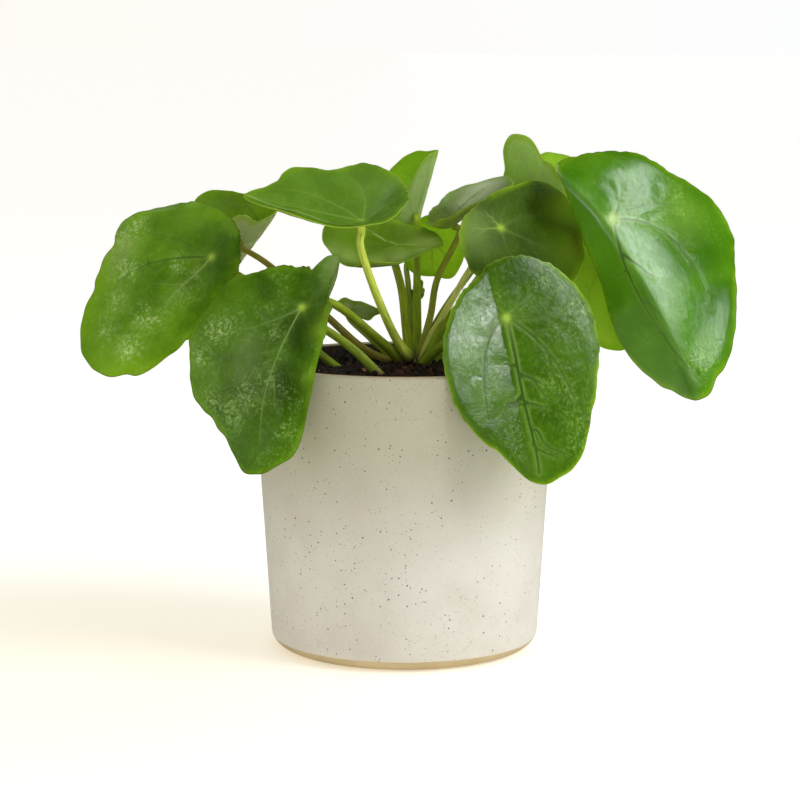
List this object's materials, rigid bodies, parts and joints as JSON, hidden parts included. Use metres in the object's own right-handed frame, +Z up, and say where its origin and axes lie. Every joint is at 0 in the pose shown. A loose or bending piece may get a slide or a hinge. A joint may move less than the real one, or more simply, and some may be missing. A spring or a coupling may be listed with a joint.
{
  "type": "potted pilea plant",
  "caption": "Potted pilea: round, flat and folded leaves on thin stalks fan out from one crown in a slightly tapered, soil-filled stoneware pot.",
  "frame": {"origin": "middle of the pot's flat base, on the surface it stands on", "axes": "+Z up along the pot's axis, +X to the right across the widest spread of the leaves, -Y to the front that the picture shows"},
  "size_m": [0.2569, 0.1331, 0.2026],
  "materials": {
    "stoneware": "matte",
    "potting_soil": "matte",
    "crown": "matte",
    "petiole": "satin",
    "leaf": "satin"
  },
  "bodies": {
    "root": {"pot": "stoneware", "soil": "potting_soil", "crown": "crown", "petiole_01": "petiole", "leaf_01": "leaf", "petiole_02": "petiole", "leaf_02": "leaf", "petiole_03": "petiole", "leaf_03": "leaf", "petiole_04": "petiole", "leaf_04": "leaf", "petiole_05": "petiole", "leaf_05": "leaf", "petiole_06": "petiole", "leaf_06": "leaf", "petiole_07": "petiole", "leaf_07": "leaf", "petiole_08": "petiole", "leaf_08": "leaf", "petiole_09": "petiole", "leaf_09": "leaf", "petiole_10": "petiole", "leaf_10": "leaf", "petiole_11": "petiole", "leaf_11": "leaf", "petiole_12": "petiole", "leaf_12": "leaf", "petiole_13": "petiole", "leaf_13": "leaf", "petiole_14": "petiole", "leaf_14": "leaf", "petiole_15": "petiole", "leaf_15": "leaf", "petiole_16": "petiole", "leaf_16": "leaf", "petiole_17": "petiole", "leaf_17": "leaf"}
  },
  "joints": []
}
